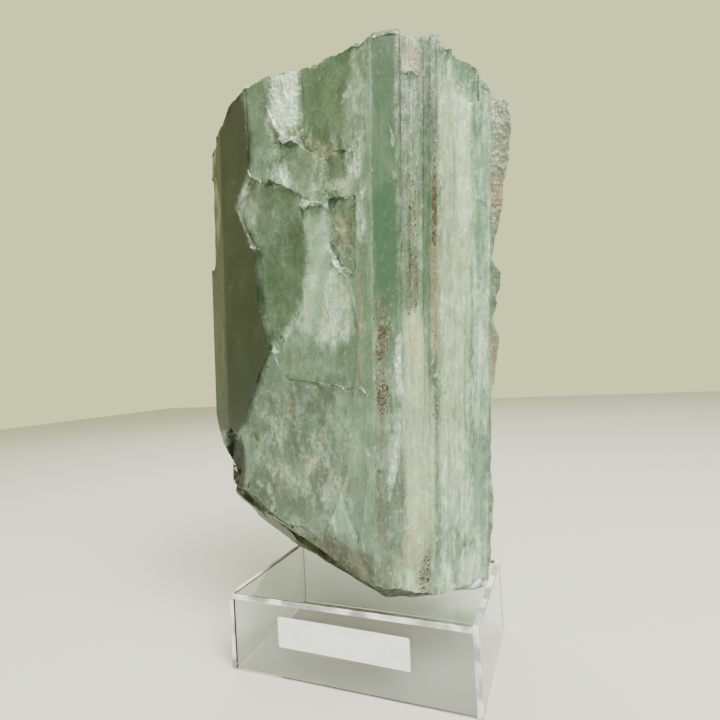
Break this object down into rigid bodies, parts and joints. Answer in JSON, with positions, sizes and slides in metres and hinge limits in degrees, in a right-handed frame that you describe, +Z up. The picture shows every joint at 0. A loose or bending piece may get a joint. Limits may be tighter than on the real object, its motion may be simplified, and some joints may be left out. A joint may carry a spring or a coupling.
{
  "type": "mineral specimen",
  "caption": "Tall hexagonal aquamarine crystal with a broken crown and a slanting break below, leaning a little on a low clear display riser with a blank paper label.",
  "frame": {"origin": "centre of the whole part's box, on the table that the riser stands on", "axes": "+Z up; +X to the right along the riser's labelled front wall; -Y out of that wall, towards the viewer"},
  "size_m": [0.143, 0.0954, 0.234],
  "materials": {
    "beryl": "milky green beryl, glassy on the prism faces and rough where broken",
    "clear_acrylic": "clear polished acrylic",
    "grey_putty": "dull pressed putty",
    "white_paper": "plain uncoated paper"
  },
  "bodies": {
    "root": {"aquamarine_crystal": "beryl", "mounting_putty": "grey_putty", "stand_top_plate": "clear_acrylic", "stand_front_plate": "clear_acrylic", "stand_back_plate": "clear_acrylic", "stand_left_plate": "clear_acrylic", "stand_right_plate": "clear_acrylic", "paper_label": "white_paper"}
  },
  "joints": []
}
